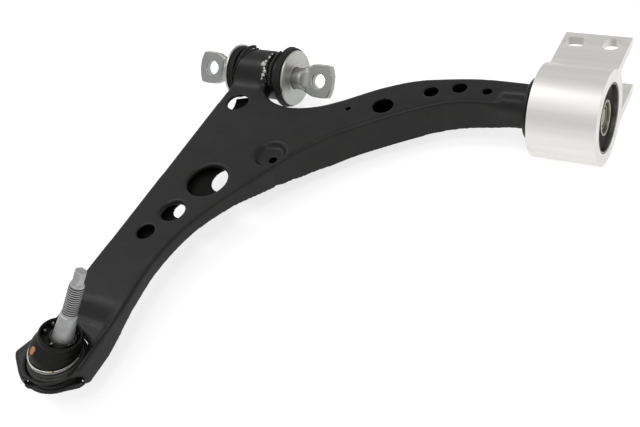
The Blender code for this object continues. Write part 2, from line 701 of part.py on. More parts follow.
def add_welds(mats, root):
    radius = TUBE_OUTER_R + 0.4

    def on_tube(degrees):
        angle = math.radians(degrees)
        out = Vector((0, math.cos(angle), math.sin(angle)))
        x = SADDLE_X[1] + 3.0
        return Vector((x, 0, 0)) + out * radius, Vector((1, 0, 0)), out

    angles = [66 + (160 - 66) * k / 10 for k in range(11)]
    add_object("tube_weld_bead", bead(angles, 3.6, 1.8, on_tube), mats["black_paint"], root)

    ring_part("spigot_weld_bead",
              [(SPIGOT_ROOT_R + 0.4, LEG_END_X + 1.2), (SPIGOT_ROOT_R + 1.4, LEG_END_X + 1.1),
               (SPIGOT_ROOT_R + 2.6, LEG_END_X + 0.35), (SPIGOT_ROOT_R + 0.4, LEG_END_X + 0.35)],
              mats["black_paint"], root, Vector(), 32)

    outline = inset(arm_outline(), SHEET + 2.4)
    seams = {"front": [], "rear": []}
    for x, y in outline:
        low = ARM_BOTTOM_Z + PLATE_RECESS - CLEARANCE
        if -280 < y and -306 < x < DEEPEN_X[0] - 3 and y < -100:
            seams["front"].append(Vector((x, y, low)))
        if -280 < y < -95 and x < -350:
            seams["rear"].append(Vector((x, y, low)))
    for label, points in seams.items():
        def along(k, points=points):
            here = points[k]
            ahead = points[min(k + 1, len(points) - 1)] - points[max(k - 1, 0)]
            side = Vector((-ahead.y, ahead.x, 0)).normalized()
            return here, side, Vector((0, 0, -1))
        add_object(f"seam_weld_{label}", bead(range(len(points)), 3.6, 1.3, along),
                   mats["black_paint"], root)


# ---------------------------------------------------------------- ball joint

def add_ball_joint(mats, root, boot_axis, collar_axis, stud_axis):
    upright = turn_z_to(HOUSING_AXIS)
    mouth = 13.6
    add_object("ball_joint_housing",
               lathe([(HOUSING_R - 1.5, -19.5), (HOUSING_R, -18.0), (HOUSING_R, -1.5),
                      (COLLAR_R, -1.5), (COLLAR_R, -0.3), (21.8, 2.2), (18.6, 2.9),
                      (18.2, 6.6), (17.0, 7.6), (mouth + 1.4, 7.6), (mouth, 6.4),
                      (LINER_R + CLEARANCE, 5.2), (LINER_R + CLEARANCE, -14.6),
                      (17.6, -14.6), (17.6, -17.6), (16.4, -19.5)], 40),
               mats["housing"], root, BALL_CENTRE, upright)
    add_object("ball_joint_cover",
               lathe(rod_profile([(17.2, -17.3), (17.2, -15.2), (9.0, -15.2)]), 36),
               mats["housing"], root, BALL_CENTRE, upright)
    bowl = BALL_R + 0.25
    wall = [(math.sqrt(bowl ** 2 - h ** 2), h) for h in (4.6, 2.5, 0, -4, -8, -11)]
    add_object("ball_socket_liner",
               lathe([(LINER_R, -14.2), (LINER_R, 4.6)] + wall + [(6.0, -13.2), (6.0, -14.2)],
                     32),
               mats["liner"], root, BALL_CENTRE, upright)
    add_dust_boot(mats, root, boot_axis, collar_axis)
    add_ball_stud(mats["stud"], stud_axis)


def boot_place(point):
    """Bends the boot between its base on the housing and its rim on the stud.

    point.z runs from 0 at the base ring to 1 at the rim.
    """
    t = point.z
    base = HOUSING_AXIS * BOOT_BASE
    knee = HOUSING_AXIS * BOOT_KNEE
    collar = STUD_AXIS * (BOOT_RIM - (1.0 - COLLAR_T) * BOOT_HEIGHT)
    if t < 0.0:
        centre = base + HOUSING_AXIS * t * BOOT_HEIGHT
    elif t < COLLAR_T:
        u = t / COLLAR_T
        centre = base.lerp(knee, u).lerp(knee.lerp(collar, u), u)
    else:
        centre = STUD_AXIS * (BOOT_RIM - (1.0 - t) * BOOT_HEIGHT)
    turn = ramp(t, BASE_T, COLLAR_T, 0.0, 1.0)
    axis = HOUSING_AXIS.lerp(BOOT_RIM_AXIS, turn).normalized()
    radius = math.hypot(point.x, point.y)
    free = ramp(radius, BOOT_MEMBRANE_R, BOOT_MEMBRANE_R + 4.0, 0.0, 1.0)
    centre = centre + BOOT_RIM_SHIFT * free * turn
    return centre + turn_z_to(axis) @ Vector((point.x, point.y, 0.0))


def add_dust_boot(mats, root, boot_axis, collar_axis):
    hole = BOOT_MEMBRANE_R
    profile = [(19.2, -0.12), (20.0, -0.12), (20.0, 0.09), (20.3, 0.15), (19.8, 0.35),
               (18.6, 0.56), (17.1, 0.74), (17.3, 0.83), (16.9, 0.94), (16.2, 1.0),
               (15.2, 1.0), (14.6, 0.95), (14.1, 0.66), (13.4, 0.62), (hole, 0.62),
               (hole, 0.52), (14.0, 0.52), (16.6, 0.44), (18.2, 0.28), (18.8, 0.1)]
    add_object("dust_boot", lathe(profile, 36, place=boot_place), mats["rubber"],
               boot_axis)
    for label, height, spread in (("upper", 0.45, WIRE_SPREAD), ("lower", -0.85, 0.0)):
        wire = [(WIRE_RING_R + WIRE_R * math.cos(a), BOOT_BASE + height + WIRE_R * math.sin(a))
                for a in (math.pi * k / 3 for k in range(6))]

        def open_out(point, spread=spread):
            """Lifts one side of a turn, where the two turns spring apart."""
            return point + Vector((0, 0, spread * (1.0 - point.x / WIRE_RING_R) / 2))
        add_object(f"boot_base_wire_{label}", lathe(wire, 36, place=open_out), mats["wire"],
                   root, BALL_CENTRE, turn_z_to(HOUSING_AXIS))
    clip = tube_profile(CLIP_INNER_R, CLIP_INNER_R + 1.2, CLIP_LOW, CLIP_LOW + 1.2)
    add_object("boot_collar_clip", lathe(clip, 28), mats["housing"], collar_axis, Vector(),
               turn_z_to(STUD_AXIS))


def add_ball_stud(mat, stud_axis):
    ball = [(math.sqrt(BALL_R ** 2 - h ** 2), h) for h in (-12.2, -10, -6, -2, 2, 6, 9, 11.2)]
    shank = [(7.2, 12.0), (7.2, 14.5), (8.9, 16.5), (8.9, 18.0), (6.9, 42.0), (6.5, 43.0),
             (5.5, 44.0), (6.0, 45.0), (6.0, 72.0), (HEX_RADIUS, 74.0)]
    turned = lathe(rod_profile(ball + shank), 28)
    stud = add_object("ball_stud", turned, mat, stud_axis, Vector(), turn_z_to(STUD_AXIS))
    tip = lathe(rod_profile([(HEX_RADIUS - 0.1, 73.0), (HEX_RADIUS - 0.1, STUD_LENGTH - 1.2),
                             (HEX_RADIUS - 1.2, STUD_LENGTH)]), 6)
    boolean(stud, add_object("join_hex_tip", tip, None, stud_axis, Vector(),
                             turn_z_to(STUD_AXIS)), "UNION")
    return stud


# ---------------------------------------------------------------- assembly

def build():
    clear_scene()
    mats = {
        "black_paint": make_material("black_paint", (0.035, 0.035, 0.035), 0.45, 0.0),
        "steel": make_material("bare_steel", (0.45, 0.44, 0.42), 0.4, 1.0),
        "zinc": make_material("zinc_plate", (0.72, 0.74, 0.72), 0.32, 1.0),
        "aluminium": make_material("aluminium", (0.80, 0.79, 0.78), 0.34, 1.0),
        "sleeve": make_material("bushing_sleeve", (0.30, 0.29, 0.28), 0.4, 1.0),
        "core": make_material("core_ring", (0.42, 0.40, 0.34), 0.5, 0.6),
        "rubber": make_material("rubber", (0.016, 0.016, 0.016), 0.6, 0.0),
        "housing": make_material("housing_steel", (0.03, 0.03, 0.03), 0.4, 0.2),
        "liner": make_material("socket_liner", (0.82, 0.81, 0.76), 0.5, 0.0),
        "wire": make_material("spring_wire", (0.62, 0.60, 0.56), 0.25, 1.0),
        "stud": make_material("stud_zinc", (0.52, 0.52, 0.51), 0.5, 1.0),
    }
    root = add_empty("arm_axes", ORIGIN_SHIFT)
    pin_axis = add_empty("bar_pin_axis", Vector((BAR_PIN_X, 0, 0)), root)
    bracket_axis = add_empty("bracket_axis", Vector(), root)
    bracket_axis.rotation_euler = (BRACKET_TURN, 0.0, 0.0)
    ball_axes = [add_empty(name, BALL_CENTRE, root)
                 for name in ("boot_axis", "collar_axis", "stud_axis")]
    add_upper_shell(mats["black_paint"], root)
    add_lower_plate(mats["black_paint"], root)
    add_front_bushing(mats, root, pin_axis)
    add_rear_bushing(mats, root, bracket_axis)
    add_spigot(mats, root)
    add_welds(mats, root)
    add_ball_joint(mats, root, *ball_axes)


build()
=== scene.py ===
"""Looks of a lower control arm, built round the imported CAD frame.

Shapes are laid out in millimetres in the arm's own axes, with the line through
both bushings as X, and are turned into metres in the row frame by add_piece.
"""
import json
import math
import random

import bmesh
import bpy
import numpy as np
from mathutils import Matrix, Vector, kdtree, noise


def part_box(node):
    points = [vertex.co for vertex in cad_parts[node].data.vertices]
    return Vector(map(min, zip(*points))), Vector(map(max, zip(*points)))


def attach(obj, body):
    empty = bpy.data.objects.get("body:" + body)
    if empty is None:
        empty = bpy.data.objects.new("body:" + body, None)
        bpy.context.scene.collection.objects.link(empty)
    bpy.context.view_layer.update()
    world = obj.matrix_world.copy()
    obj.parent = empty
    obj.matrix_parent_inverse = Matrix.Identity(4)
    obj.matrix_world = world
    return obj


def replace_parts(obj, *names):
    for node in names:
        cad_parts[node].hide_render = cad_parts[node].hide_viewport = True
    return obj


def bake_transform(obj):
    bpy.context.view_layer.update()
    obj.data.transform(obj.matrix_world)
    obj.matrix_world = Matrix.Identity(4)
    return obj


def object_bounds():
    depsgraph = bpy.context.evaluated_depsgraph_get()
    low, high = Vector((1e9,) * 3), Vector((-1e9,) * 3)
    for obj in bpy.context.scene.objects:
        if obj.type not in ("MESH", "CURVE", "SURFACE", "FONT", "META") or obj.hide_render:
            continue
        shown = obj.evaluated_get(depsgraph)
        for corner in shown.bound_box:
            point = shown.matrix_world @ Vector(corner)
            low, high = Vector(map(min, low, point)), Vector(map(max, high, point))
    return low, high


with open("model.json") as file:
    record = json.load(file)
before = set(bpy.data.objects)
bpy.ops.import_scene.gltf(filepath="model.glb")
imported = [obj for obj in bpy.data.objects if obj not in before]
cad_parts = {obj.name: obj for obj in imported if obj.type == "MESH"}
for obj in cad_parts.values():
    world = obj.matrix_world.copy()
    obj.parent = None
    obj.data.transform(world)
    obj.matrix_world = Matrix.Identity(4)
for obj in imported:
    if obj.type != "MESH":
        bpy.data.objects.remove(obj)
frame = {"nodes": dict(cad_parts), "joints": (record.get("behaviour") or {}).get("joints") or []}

CAD_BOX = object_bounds()
MM = 0.001
JOINTS = {joint["name"]: joint for joint in frame["joints"]}

# The arm's axes and its ball joint, from the frame
ARM_ORIGIN = Vector((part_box("rear_bracket")[1].x, *JOINTS["bracket_twist"]["pos_m"][1:]))
BALL_CENTRE = (Vector(JOINTS["ball_swing_a"]["pos_m"]) - ARM_ORIGIN) / MM
HOUSING_AXIS = Vector((0.114, 0.125, 0.986)).normalized()
STUD_AXIS = Vector(JOINTS["ball_spin"]["axis"]).normalized()
BOOT_RIM_AXIS = Vector((0.38, 0.29, 0.88)).normalized()

# Round pieces, radii and lengths in millimetres
SEGMENTS = 96
FRONT_BUSH_X = -332.5
TUBE_OUTER_R = 23.2
TUBE_INNER_R = 20.8
TUBE_HALF_LENGTH = 24.0
WASHER_R = 26.4
WASHER_BORE_R = 10.6
WASHER_FACES = (31.0, 33.5)
SLEEVE_BORE_R = 19.0
RUBBER_BORE_R = 12.8
BUMPER_BORE_R = 15.3
BUMPER_CLEAR = 1.6
PIN_MIDDLE_X = -335.0
PIN_FORGED_HALF = 56.0
BUMPER_R = {"left": 25.6, "right": 29.3}
BUMPER_SHIFT = {"left": Vector((0, 0, 0)), "right": Vector((0, 0.0, 0.4))}
BUMPER_REACH = {"left": 0.0, "right": 0.6}

# The pressed sheet: its top face, and the saddle's right edge over the tube
SADDLE_EDGE_X = -317.4
SADDLE_WIDTH = 45.0
SADDLE_BACK_Y = 24.0
TOP_Z = 7.3
# The concave round between the saddle and the top face: its radius, its centre and its end
BLEND_R = 20.0
BLEND_Y = -36.3
BLEND_Z = TOP_Z + BLEND_R
BLEND_STOP_Y = -20.3
# The step behind the ball joint, as (middle, reach) of the part that is rounded off
STEP_SOFT = ((-318.0, -297.0, 5.0), (17.0, 11.0, 12.0))
# Holes as (x, y, radius)
ROLLED_HOLES = ((-319.8, -190.4, 11.0), (-308.5, -150.0, 18.8), (-268.0, -108.0, 15.5))
PLAIN_HOLES = ((-330.3, -218.0, 8.2), (-335.6, -50.0, 10.6), (-191.5, -28.3, 9.5),
               (-155.3, -2.5, 6.5), (-131.9, 6.9, 6.5), (-106.2, 6.6, 4.2),
               (-222.0, -37.7, 2.4), (-261.4, -113.3, 3.5))

# The spigot, and the bulge that is pressed over its root from one X to the other
SPIGOT_R = 8.6
SPIGOT_BAR_R = 7.6
SPIGOT_END_X = -5.0
SPIGOT_HOOD = (-91.6, -66.9)
HOOD_SOFT = ((-84.0, -8.0, -1.0), (16.0, 12.0, 14.0))
# Shallow marks as (middle, reach, height)
PRESS_MARKS = (((-283.0, -232.0), (5.0, 18.0), -0.35), ((-240.0, -122.0), (30.0, 4.0), 0.3),
               ((-206.0, -80.0), (22.0, 5.0), 0.35), ((-76.0, 4.0), (7.0, 5.0), 0.5),
               ((-288.0, -95.0), (14.0, 5.0), 0.2))

# The saddle's weld: its angles round the tube, and its large drops as (degrees, X, radius)
WELD_ARC = (66, 160)
WELD_SIDES = 9
LARGE_DROPS = ((98, -319.3, 1.5), (116, -322.6, 2.6), (109, -321.0, 1.5), (131, -319.6, 1.9),
               (139, -320.6, 1.9), (125, -320.9, 1.3), (147, -321.8, 1.2), (88, -318.6, 1.0),
               (160, -321.6, 1.0))

# The dust boot: heights from the ball's centre; a place on its wall runs from 0 to 1
BOOT_BASE = 5.6
BOOT_KNEE = 11.5
BOOT_RIM = 24.2
BOOT_RIM_SHIFT = Vector((-2.1, -1.1, 0.6))
BOOT_HEIGHT = 18.0
BASE_T = 0.12
COLLAR_T = 0.50
MEMBRANE_R = 9.8
# Moulded pegs inside the rim as (degrees, distance from the middle, top)
LUG_R = 1.35
LUG_FOOT = 0.6
BOOT_LUGS = ((156, 13.1, 1.0), (192, 13.1, 0.9), (104, 13.1, 0.9), (44, 13.1, 1.0),
             (270, 12.0, 1.0), (336, 12.0, 1.0))
# The spring wire, and marks on the boot and the wire, from the ball's centre
WIRE_RING_R = 21.0
WIRE_R = 0.52
WIRE_TURNS = 2.08
WIRE_SPREAD = 2.6
DAB_PLACE = Vector((-5.6, -10.4, 20.2))
WIRE_MARK = Vector((12.4, -15.6, 7.3))
# A patch of the wire that is coloured near black and made non-metallic
WIRE_DARK_PATCH = Vector((18.0, 13.0, 4.0))
BALL_R = 13.5
# The stud's thread: radius, then start, number of grooves, spacing and depth
THREAD_R = 6.0
THREAD = (45.3, 13, 2.08, 0.85)

# Camera, in millimetres from the arm's origin, and light
CAMERA_PLACE = Vector((174.7, -569.3, 534.3))
CAMERA_FORWARD = Vector((-0.47718, 0.53781, -0.69502))
CAMERA_RIGHT = Vector((0.86063, 0.44600, -0.24576))
SENSOR_WIDTH = 36.0
LENS = 52.7
ROOM_LIGHT = 0.72
FLOOR_GLOW = 0.74
FLOOR_HALF_WIDTH = 6.0
FLOOR_GAP = 0.0005


# ---------------------------------------------------------------- mesh helpers

def to_row(bm):
    """Turns a bmesh from millimetres in the arm's axes into metres in the row frame."""
    bmesh.ops.transform(bm, matrix=Matrix.Translation(ARM_ORIGIN) @ Matrix.Scale(MM, 4),
                        verts=bm.verts)


def finish_mesh(name, bm, mat, smooth):
    bmesh.ops.recalc_face_normals(bm, faces=bm.faces)
    mesh = bpy.data.meshes.new(name)
    bm.to_mesh(mesh)
    bm.free()
    mesh.shade_smooth()
    mesh.set_sharp_from_angle(angle=math.radians(smooth))
    mesh.materials.append(mat)
    obj = bpy.data.objects.new(name, mesh)
    bpy.context.scene.collection.objects.link(obj)
    return obj


def add_piece(name, bm, mat, body=None, replaces=(), smooth=35.0):
    """A piece in millimetres in the arm's axes, which rides on a body."""
    bmesh.ops.remove_doubles(bm, verts=bm.verts, dist=0.0005)
    to_row(bm)
    obj = finish_mesh(name, bm, mat, smooth)
    if body is not None:
        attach(obj, body)
    if replaces:
        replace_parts(obj, *replaces)
    return obj


def turn_z_to(direction):
    return Vector((0, 0, 1)).rotation_difference(direction).to_matrix()


def lathe(profile, place, segments=SEGMENTS, closed=True):
    """Spins (radius, height) points about Z; place() puts each point in the arm's axes."""
    bm = bmesh.new()
    rings = []
    for radius, height in profile:
        ring = []
        count = segments if radius > 1e-6 else 1
        for k in range(count):
            angle = 2 * math.pi * k / segments
            ring.append(bm.verts.new(place(Vector((radius * math.cos(angle),
                                                   radius * math.sin(angle), height)))))
        rings.append(ring)
    pairs = list(zip(rings[:-1], rings[1:]))
    if closed:
        pairs.append((rings[-1], rings[0]))
    for low, high in pairs:
        if len(low) == 1 and len(high) == 1:
            continue
        for k in range(segments):
            nxt = (k + 1) % segments
            corners = [low[k % len(low)], low[nxt % len(low)],
                       high[nxt % len(high)], high[k % len(high)]]
            bm.faces.new(list(dict.fromkeys(corners)))
    return bm


def along(axis, centre):
    """A place() for lathe: the profile's height runs along axis from centre."""
    turn = turn_z_to(axis)
    return lambda p: centre + turn @ p


def along_x(x, shift=Vector()):
    return lambda p: Vector((x + p.z, p.x, p.y)) + shift


def rounded(profile, radius, steps=4, closed=True):
    """Rounds the corners of a profile with small arcs."""
    points = [Vector(p) for p in profile]
    count = len(points)
    out = []
    for k in range(count):
        if not closed and k in (0, count - 1):
            out.append(points[k])
            continue
        here = points[k]
        before = points[k - 1] - here
        after = points[(k + 1) % count] - here
        reach = min(radius, before.length * 0.45, after.length * 0.45)
        start = here + before.normalized() * reach
        end = here + after.normalized() * reach
        for i in range(steps + 1):
            t = i / steps
            out.append(start.lerp(here, t).lerp(here.lerp(end, t), t))
    return [(p.x, p.y) for p in out]


def tube_profile(inner, outer, low, high, radius=0.4):
    return rounded([(outer, low), (outer, high), (inner, high), (inner, low)], radius)


def rod_along(bm, path, radius, sides=10):
    """A round rod through the points of a path, added to a bmesh."""
    rings = []
    side = None
    for k, point in enumerate(path):
        ahead = (path[min(k + 1, len(path) - 1)] - path[max(k - 1, 0)]).normalized()
        side = side or ahead.orthogonal()
        side = (side - ahead * side.dot(ahead)).normalized()
        up = ahead.cross(side)
        ring = []
        for s in range(sides):
            angle = 2 * math.pi * s / sides
            ring.append(bm.verts.new(point + (side * math.cos(angle)
                                              + up * math.sin(angle)) * radius))
        rings.append(ring)
    for low, high in zip(rings[:-1], rings[1:]):
        for s in range(sides):
            nxt = (s + 1) % sides
            bm.faces.new([low[s], low[nxt], high[nxt], high[s]])
    bm.faces.new(rings[0])
    bm.faces.new(list(reversed(rings[-1])))


def node_bmesh(node):
    """The CAD node's solid as one closed bmesh, in metres in the row frame."""
    bm = bmesh.new()
    bm.from_mesh(frame["nodes"][node].data)
    bmesh.ops.remove_doubles(bm, verts=bm.verts, dist=1e-6)
    return bm


def crisp_copy(node, mat, body, bevel):
    """The CAD solid with small rounded edges, shown in its place."""
    bm = node_bmesh(node)
    bmesh.ops.dissolve_limit(bm, angle_limit=math.radians(0.6), verts=bm.verts,
                             edges=bm.edges)
    obj = finish_mesh(node + "_fine", bm, mat, 35.0)
    cut = obj.modifiers.new("edges", "BEVEL")
    cut.width = bevel * MM
    cut.segments = 2
    cut.limit_method = "ANGLE"
    cut.angle_limit = math.radians(38.0)
    cut.use_clamp_overlap = True
    obj.modifiers.new("normals", "WEIGHTED_NORMAL").keep_sharp = True
    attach(obj, body)
    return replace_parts(obj, node)


# ---------------------------------------------------------------- pressed sheet

def fold_points(bm, is_soft):
    """Points every millimetre or so along the folds that is_soft() picks."""
    points = []
    for edge in bm.edges:
        if len(edge.link_faces) != 2 or edge.calc_face_angle(0.0) < math.radians(35):
            continue
        a, b = (vert.co for vert in edge.verts)
        if not is_soft((a + b) / 2, edge):
            continue
        count = max(1, int((b - a).length / (1.5 * MM)))
        points += [a.lerp(b, (k + 0.5) / count) for k in range(count)]
    return points


def smooth_steps(points, edges, weights, steps):
    """Moves points towards the mean of their neighbours, or away where a step is negative."""
    first, second = edges[:, 0], edges[:, 1]
    valence = np.bincount(edges.ravel(), minlength=len(points))[:, None].clip(1)
    for step in steps:
        total = np.zeros_like(points)
        np.add.at(total, first, points[second])
        np.add.at(total, second, points[first])
        points += (total / valence - points) * step * weights[:, None]
    return points


def relax(points, edges, rounds):
    """Evens out the surface without shrinking it."""
    return smooth_steps(points, edges, np.ones(len(points)), (0.55, -0.57) * rounds)


def soften(points, edges, weights, rounds):
    """Rounds the surface off where the weights are high."""
    return smooth_steps(points, edges, weights, (0.5,) * rounds)


def remeshed(obj, voxel):
    mod = obj.modifiers.new("remesh", "REMESH")
    mod.mode = "VOXEL"
    mod.voxel_size = voxel * MM
    mod.use_smooth_shade = True
    depsgraph = bpy.context.evaluated_depsgraph_get()
    mesh = bpy.data.meshes.new_from_object(obj.evaluated_get(depsgraph))
    obj.modifiers.clear()
    old = obj.data
    obj.data = mesh
    bpy.data.meshes.remove(old)
    return obj


def skin_arrays(mesh):
    """A mesh's points and edges as arrays."""
    points = np.empty(len(mesh.vertices) * 3)
    mesh.vertices.foreach_get("co", points)
    edges = np.empty(len(mesh.edges) * 2, dtype=np.int64)
    mesh.edges.foreach_get("vertices", edges)
    return points.reshape(-1, 3), edges.reshape(-1, 2)


def fold_weights(points, folds, reach):
    """1 within half the reach of a fold, falling smoothly to 0 at one and a half times it."""
    tree = kdtree.KDTree(len(folds))
    for k, point in enumerate(folds):
        tree.insert(point, k)
    tree.balance()
    distance = np.array([tree.find(p)[2] for p in points]) / (reach * MM)
    t = (1.5 - distance).clip(0.0, 1.0)
    return t * t * (3 - 2 * t)


def pressed_copy(node, mat, voxel, is_soft, reach, soft_rounds, extra=None, sculpt=None):
    """A pressed or forged version of a CAD solid: even skin, with rounded folds."""
    bm = node_bmesh(node)
    folds = fold_points(bm, is_soft)
    if extra is not None:
        extra(bm)
    obj = remeshed(finish_mesh(node + "_fine", bm, mat, 180.0), voxel)
    mesh = obj.data
    points, edges = skin_arrays(mesh)
    points = relax(points, edges, 6)
    points = soften(points, edges, fold_weights(points, folds, reach), soft_rounds)
    if sculpt is not None:
        points = sculpt(points, edges)
    mesh.vertices.foreach_set("co", points.ravel())
    mesh.update()
    mesh.shade_smooth()
    if not mesh.materials:
        mesh.materials.append(mat)
    return obj


def arm_point(co):
    return (co - ARM_ORIGIN) / MM


def is_arm_fold(middle, edge):
    """The long folds and the rolled hole rims are soft; punched edges stay crisp."""
    p = arm_point(middle)
    for x, y, radius in PLAIN_HOLES:
        if abs(math.hypot(p.x - x, p.y - y) - radius) < 0.8:
            return False
    for x, y, radius in ROLLED_HOLES:
        if math.hypot(p.x - x, p.y - y) < radius + 3.5:
            return True
    faces = edge.link_faces
    up = max(faces[0].normal.z, faces[1].normal.z)
    return up > 0.6 and p.z > -3.5


def add_spigot_hood(bm):
    """The pressed bulge over the spigot, a little thicker than the sheet's skin."""
    place = along_x(0.0)
    hood = lathe(tube_profile(SPIGOT_R - 1.2, SPIGOT_R + 1.9, SPIGOT_HOOD[0], SPIGOT_HOOD[1]),
                 place, 48)
    for vert in hood.verts:
        vert.co = ARM_ORIGIN + vert.co * MM
    mesh = bpy.data.meshes.new("hood")
    hood.to_mesh(mesh)
    bm.from_mesh(mesh)
    bpy.data.meshes.remove(mesh)
    hood.free()


def arm_points(points):
    """An array of points in millimetres in the arm's axes."""
    return (points - np.array(ARM_ORIGIN)) / MM


def fill_saddle_corner(points, edges):
    """Fills the corner between the saddle and the top face with a concave round."""
    at = arm_points(points)
    right_fade = np.clip((SADDLE_EDGE_X - 0.5 - at[:, 0]) / 6.0, 0.0, 1.0)
    left_fade = np.clip((at[:, 0] - SADDLE_EDGE_X + SADDLE_WIDTH) / 5.0, 0.0, 1.0)
    rise = BLEND_Z - np.sqrt(np.maximum(BLEND_R ** 2 - (at[:, 1] - BLEND_Y) ** 2, 0.0))
    under = (at[:, 1] > BLEND_Y) & (at[:, 1] < BLEND_STOP_Y) & (at[:, 2] > TOP_Z - 1.0)
    lift = np.maximum(rise - at[:, 2], 0.0) * under * right_fade * left_fade
    points[:, 2] += lift * MM
    at = arm_points(points)
    saddle = (at[:, 1] > BLEND_Y - 3.0) & (at[:, 1] < SADDLE_BACK_Y)
    saddle &= at[:, 2] > TOP_Z - 1.5
    return soften(points, edges, saddle * right_fade * left_fade, 40)


def press_marks(points, edges):
    """Blends the saddle in, rounds two steps off and adds shallow marks to the skin."""
    points = fill_saddle_corner(points, edges)
    at = arm_points(points)
    for (middle, reach), rounds in ((STEP_SOFT, 60), (HOOD_SOFT, 110)):
        away = (((at - np.array(middle)) / np.array(reach)) ** 2).sum(axis=1)
        points = soften(points, edges, np.exp(-away ** 2), rounds)
    at = arm_points(points)
    for (x, y), (dx, dy), height in PRESS_MARKS:
        away = ((at[:, 0] - x) / dx) ** 2 + ((at[:, 1] - y) / dy) ** 2
        points[:, 2] += height * MM * np.exp(-away) * (at[:, 2] > TOP_Z - 4.0)
    return points


def add_pressed_arm(mats):
    shell = pressed_copy("upper_shell", mats["paint"], 0.85, is_arm_fold, 3.4, 24,
                         add_spigot_hood, press_marks)
    plate = pressed_copy("lower_plate", mats["paint_inside"], 0.9, lambda p, e: True, 1.2, 2)
    for piece, node in ((shell, "upper_shell"), (plate, "lower_plate")):
        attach(piece, "arm")
        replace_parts(piece, node)


# ---------------------------------------------------------------- bushings

def around_tube(degrees):
    """The direction out of the tube at an angle from Y towards Z."""
    angle = math.radians(degrees)
    return Vector((0, math.cos(angle), math.sin(angle)))


def add_front_tube(mats):
    """The welded tube and the sleeve that is pressed into it."""
    half = TUBE_HALF_LENGTH
    place = along_x(FRONT_BUSH_X)
    tube = tube_profile(TUBE_INNER_R, TUBE_OUTER_R, -half, half, 0.9)
    add_piece("front_tube", lathe(tube, place), mats["paint"], "arm",
              ["front_bushing_tube"])
    sleeve = tube_profile(SLEEVE_BORE_R, TUBE_INNER_R - 0.3, -half - 1, half + 1, 0.5)
    add_piece("front_sleeve", lathe(sleeve, place), mats["sleeve"], "arm",
              ["front_outer_sleeve"])


def add_bumper(mats, side, label):
    """The rubber lip between the tube's end and the washer."""
    low, high = sorted((side * (TUBE_HALF_LENGTH + 1.4), side * (WASHER_FACES[0] - 0.3)))
    top = BUMPER_R[label]
    reach = BUMPER_REACH[label]
    lip = [(top - 1.6, low - reach), (top, low + 0.9 - reach), (top - 1.1, low + 2.2 - reach),
           (top - 1.5, (low + high) / 2), (top - 0.9, high - 1.4), (top - 1.6, high),
           (BUMPER_BORE_R, high), (BUMPER_BORE_R, low)]
    if reach:
        inner = TUBE_OUTER_R + BUMPER_CLEAR
        lip += [(inner, low), (inner, low - reach)]
    add_piece(f"front_lip_{label}",
              lathe(rounded(lip, 0.9), along_x(FRONT_BUSH_X, BUMPER_SHIFT[label])),
              mats["rubber"], "arm", [f"front_bumper_{label}"])


def add_thrust_washer(mats, side, label):
    """A turned washer with one shallow groove in its outer face."""
    inner, outer = (side * face for face in WASHER_FACES)
    groove = side * 0.25
    face = [(WASHER_R, inner), (WASHER_R, outer - groove * 2), (WASHER_R - 0.9, outer),
            (14.5, outer), (14.1, outer - groove), (13.2, outer - groove),
            (12.8, outer), (WASHER_BORE_R, outer), (WASHER_BORE_R, inner)]
    add_piece(f"thrust_washer_{label}", lathe(rounded(face, 0.3, 2), along_x(FRONT_BUSH_X)),
              mats["zinc_turned"], "bar_pin", [f"front_washer_{label}"])


def add_front_rubber(mats):
    """The bonded rubber ring, and the fold of rubber that shows behind the left lip."""
    half = TUBE_HALF_LENGTH
    ring = tube_profile(RUBBER_BORE_R, SLEEVE_BORE_R - 0.3, -half + 2.0, half - 2.0, 1.2)
    add_piece("front_rubber_ring", lathe(ring, along_x(FRONT_BUSH_X)),
              mats["rubber"], "arm", ["front_rubber"])
    bm = bmesh.new()
    start = Vector((FRONT_BUSH_X - half + 5.5, 0, 0))
    path = [start + around_tube(46 + 3.0 * k) * (TUBE_OUTER_R + 2.1) for k in range(21)]
    rod_along(bm, path, 1.7)
    add_piece("front_lip_fold", bm, mats["rubber"], "arm")


def is_pin_fold(middle, _edge):
    """The forged part of the bar pin, between the flats of its ears."""
    return abs(arm_point(middle).x - PIN_MIDDLE_X) < PIN_FORGED_HALF


def add_bar_pin(mats):
    pin = pressed_copy("bar_pin", mats["zinc"], 0.8, is_pin_fold, 2.2, 10)
    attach(pin, "bar_pin")
    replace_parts(pin, "bar_pin")


def add_front_bushing(mats):
    add_front_tube(mats)
    for side, label in ((-1, "left"), (1, "right")):
        add_bumper(mats, side, label)
        add_thrust_washer(mats, side, label)
    add_front_rubber(mats)
    add_bar_pin(mats)


def add_rear_bushing(mats):
    crisp_copy("rear_bracket", mats["aluminium"], "bracket", 0.5)
    crisp_copy("rear_outer_sleeve", mats["sleeve"], "bracket", 0.3)
    crisp_copy("rear_core_ring", mats["core"], "arm", 0.45)
    crisp_copy("rear_inner_sleeve", mats["sleeve"], "arm", 0.3)
    crisp_copy("rear_rubber", mats["rubber"], "arm", 0.6)
    root = SPIGOT_HOOD[1] - 4.0
    spigot = [(0.0, root), (SPIGOT_BAR_R, root), (SPIGOT_BAR_R, SPIGOT_END_X - 1.0),
              (SPIGOT_BAR_R - 0.7, SPIGOT_END_X), (0.0, SPIGOT_END_X)]
    add_piece("spigot_bar", lathe(spigot, along_x(0.0), 64, False), mats["core"],
              "arm", ["rear_spigot"])
    crisp_copy("rear_stop_disc", mats["paint"], "arm", 0.4)


# ---------------------------------------------------------------- welds

